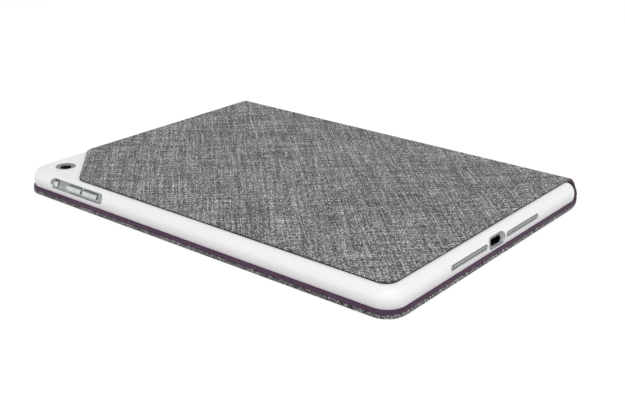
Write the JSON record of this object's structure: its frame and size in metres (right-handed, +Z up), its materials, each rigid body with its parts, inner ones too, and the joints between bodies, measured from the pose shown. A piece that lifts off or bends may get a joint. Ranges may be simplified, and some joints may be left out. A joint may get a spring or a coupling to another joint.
{
  "type": "tablet keyboard case",
  "caption": "Folding woven case for a tablet: a keyboard in the front cover, a soft spine, and a white snap-in tray on the back panel.",
  "frame": {"origin": "centre of the closed case's footprint, on the surface it lies on", "axes": "+X along the spine towards the connector end, +Y from the free edge to the spine, +Z up, from the front cover to the back panel"},
  "size_m": [0.245, 0.176, 0.014],
  "materials": {
    "woven_fabric": "grey bias-cut melange weave",
    "board": "stiffener board",
    "purple_deck": "dark purple, fine matte texture",
    "purple_liner": "dark purple microfibre",
    "grey_lining": "grey microfibre",
    "plate_metal": "rolled sheet",
    "circuit": "green solder mask",
    "dome_silicone": "translucent silicone",
    "battery_foil": "foil pouch",
    "dock_rubber": "soft dark rubber",
    "magnet": "nickel plated",
    "socket_metal": "pressed steel",
    "lamp": "translucent lens",
    "dark_plastic": "matte",
    "cap_plastic": "off-white key plastic",
    "white_tray": "smooth white, soft satin gloss",
    "silver_metal": "bead blasted and anodised",
    "bright_metal": "satin with polished edges"
  },
  "bodies": {
    "cover": {"cover_fabric": "woven_fabric", "cover_board": "board", "deck_frame": "purple_deck", "rear_liner": "purple_liner", "base_plate": "plate_metal", "circuit_board": "circuit", "dome_sheet": "dome_silicone", "battery_cells": "battery_foil", "dock_strip": "dock_rubber", "dock_magnets": "magnet", "closing_magnets": "magnet", "charge_socket": "socket_metal", "status_lamp": "lamp"},
    "spine": {"spine_fabric": "woven_fabric", "spine_board": "board", "spine_liner": "purple_liner"},
    "back": {"back_fabric": "woven_fabric", "back_board": "board", "tray_shell": "white_tray", "tray_lining": "grey_lining", "camera_ring": "silver_metal", "key_plate": "silver_metal", "speaker_grille_left": "silver_metal", "speaker_grille_right": "silver_metal", "port_frame": "silver_metal"},
    "power_switch": {"power_switch": "dark_plastic"},
    "pair_button": {"pair_button": "cap_plastic"},
    "mute_slider": {"mute_slider": "bright_metal"},
    "volume_up_key": {"volume_up_key": "bright_metal"},
    "volume_down_key": {"volume_down_key": "bright_metal"},
    "home_key": {"home_key": "cap_plastic"},
    "delete_key": {"delete_key": "cap_plastic"},
    "tab_key": {"tab_key": "cap_plastic"},
    "caps_lock_key": {"caps_lock_key": "cap_plastic"},
    "return_key": {"return_key": "cap_plastic"},
    "left_shift_key": {"left_shift_key": "cap_plastic"},
    "right_shift_key": {"right_shift_key": "cap_plastic"},
    "fn_key": {"fn_key": "cap_plastic"},
    "control_key": {"control_key": "cap_plastic"},
    "left_alt_key": {"left_alt_key": "cap_plastic"},
    "left_command_key": {"left_command_key": "cap_plastic"},
    "space_bar": {"space_bar": "cap_plastic"},
    "right_command_key": {"right_command_key": "cap_plastic"},
    "right_alt_key": {"right_alt_key": "cap_plastic"},
    "left_arrow_key": {"left_arrow_key": "cap_plastic"},
    "right_arrow_key": {"right_arrow_key": "cap_plastic"},
    "down_arrow_key": {"down_arrow_key": "cap_plastic"},
    "up_arrow_key": {"up_arrow_key": "cap_plastic"},
    "digit_keys": {"digit_keys": "cap_plastic"},
    "upper_letter_keys": {"upper_letter_keys": "cap_plastic"},
    "middle_letter_keys": {"middle_letter_keys": "cap_plastic"},
    "lower_letter_keys": {"lower_letter_keys": "cap_plastic"}
  },
  "joints": [
    {"name": "cover_fold", "type": "hinge", "parent": "cover", "child": "spine", "pos_m": [0, 0.0867, 0.0013], "axis": [-1, 0, 0], "range_deg": [0, 90]},
    {"name": "back_fold", "type": "hinge", "parent": "spine", "child": "back", "pos_m": [0, 0.0864, 0.0124], "axis": [-1, 0, 0], "range_deg": [0, 90]},
    {"name": "power_switch_slide", "type": "slide", "parent": "cover", "child": "power_switch", "axis": [0, 1, 0], "range_m": [0, 0.0025]},
    {"name": "pair_button_press", "type": "slide", "parent": "cover", "child": "pair_button", "axis": [0, 0, -1], "range_m": [0, 0.0005], "stiffness_N_per_m": 600, "springref_m": -0.0002},
    {"name": "mute_slider_slide", "type": "slide", "parent": "back", "child": "mute_slider", "axis": [0, 0, 1], "range_m": [0, 0.0008]},
    {"name": "volume_up_press", "type": "slide", "parent": "back", "child": "volume_up_key", "axis": [0, 1, 0], "range_m": [0, 0.0004], "stiffness_N_per_m": 1200, "springref_m": -0.0002},
    {"name": "volume_down_press", "type": "slide", "parent": "back", "child": "volume_down_key", "axis": [0, 1, 0], "range_m": [0, 0.0004], "stiffness_N_per_m": 1200, "springref_m": -0.0002},
    {"name": "home_key_press", "type": "slide", "parent": "cover", "child": "home_key", "axis": [0, 0, -1], "range_m": [0, 0.0006], "stiffness_N_per_m": 650, "springref_m": -0.0001},
    {"name": "delete_key_press", "type": "slide", "parent": "cover", "child": "delete_key", "axis": [0, 0, -1], "range_m": [0, 0.0006], "stiffness_N_per_m": 650, "springref_m": -0.0001},
    {"name": "tab_key_press", "type": "slide", "parent": "cover", "child": "tab_key", "axis": [0, 0, -1], "range_m": [0, 0.0006], "stiffness_N_per_m": 650, "springref_m": -0.0001},
    {"name": "caps_lock_key_press", "type": "slide", "parent": "cover", "child": "caps_lock_key", "axis": [0, 0, -1], "range_m": [0, 0.0006], "stiffness_N_per_m": 650, "springref_m": -0.0001},
    {"name": "return_key_press", "type": "slide", "parent": "cover", "child": "return_key", "axis": [0, 0, -1], "range_m": [0, 0.0006], "stiffness_N_per_m": 650, "springref_m": -0.0001},
    {"name": "left_shift_key_press", "type": "slide", "parent": "cover", "child": "left_shift_key", "axis": [0, 0, -1], "range_m": [0, 0.0006], "stiffness_N_per_m": 650, "springref_m": -0.0001},
    {"name": "right_shift_key_press", "type": "slide", "parent": "cover", "child": "right_shift_key", "axis": [0, 0, -1], "range_m": [0, 0.0006], "stiffness_N_per_m": 650, "springref_m": -0.0001},
    {"name": "fn_key_press", "type": "slide", "parent": "cover", "child": "fn_key", "axis": [0, 0, -1], "range_m": [0, 0.0006], "stiffness_N_per_m": 650, "springref_m": -0.0001},
    {"name": "control_key_press", "type": "slide", "parent": "cover", "child": "control_key", "axis": [0, 0, -1], "range_m": [0, 0.0006], "stiffness_N_per_m": 650, "springref_m": -0.0001},
    {"name": "left_alt_key_press", "type": "slide", "parent": "cover", "child": "left_alt_key", "axis": [0, 0, -1], "range_m": [0, 0.0006], "stiffness_N_per_m": 650, "springref_m": -0.0001},
    {"name": "left_command_key_press", "type": "slide", "parent": "cover", "child": "left_command_key", "axis": [0, 0, -1], "range_m": [0, 0.0006], "stiffness_N_per_m": 650, "springref_m": -0.0001},
    {"name": "space_bar_press", "type": "slide", "parent": "cover", "child": "space_bar", "axis": [0, 0, -1], "range_m": [0, 0.0006], "stiffness_N_per_m": 650, "springref_m": -0.0001},
    {"name": "right_command_key_press", "type": "slide", "parent": "cover", "child": "right_command_key", "axis": [0, 0, -1], "range_m": [0, 0.0006], "stiffness_N_per_m": 650, "springref_m": -0.0001},
    {"name": "right_alt_key_press", "type": "slide", "parent": "cover", "child": "right_alt_key", "axis": [0, 0, -1], "range_m": [0, 0.0006], "stiffness_N_per_m": 650, "springref_m": -0.0001},
    {"name": "left_arrow_key_press", "type": "slide", "parent": "cover", "child": "left_arrow_key", "axis": [0, 0, -1], "range_m": [0, 0.0006], "stiffness_N_per_m": 650, "springref_m": -0.0001},
    {"name": "right_arrow_key_press", "type": "slide", "parent": "cover", "child": "right_arrow_key", "axis": [0, 0, -1], "range_m": [0, 0.0006], "stiffness_N_per_m": 650, "springref_m": -0.0001},
    {"name": "down_arrow_key_press", "type": "slide", "parent": "cover", "child": "down_arrow_key", "axis": [0, 0, -1], "range_m": [0, 0.0006], "stiffness_N_per_m": 650, "springref_m": -0.0001},
    {"name": "up_arrow_key_press", "type": "slide", "parent": "cover", "child": "up_arrow_key", "axis": [0, 0, -1], "range_m": [0, 0.0006], "stiffness_N_per_m": 650, "springref_m": -0.0001},
    {"name": "digit_keys_press", "type": "slide", "parent": "cover", "child": "digit_keys", "axis": [0, 0, -1], "range_m": [0, 0.0006], "stiffness_N_per_m": 7800, "springref_m": -0.0001},
    {"name": "upper_letter_keys_press", "type": "slide", "parent": "cover", "child": "upper_letter_keys", "axis": [0, 0, -1], "range_m": [0, 0.0006], "stiffness_N_per_m": 8450, "springref_m": -0.0001},
    {"name": "middle_letter_keys_press", "type": "slide", "parent": "cover", "child": "middle_letter_keys", "axis": [0, 0, -1], "range_m": [0, 0.0006], "stiffness_N_per_m": 7150, "springref_m": -0.0001},
    {"name": "lower_letter_keys_press", "type": "slide", "parent": "cover", "child": "lower_letter_keys", "axis": [0, 0, -1], "range_m": [0, 0.0006], "stiffness_N_per_m": 6500, "springref_m": -0.0001}
  ]
}
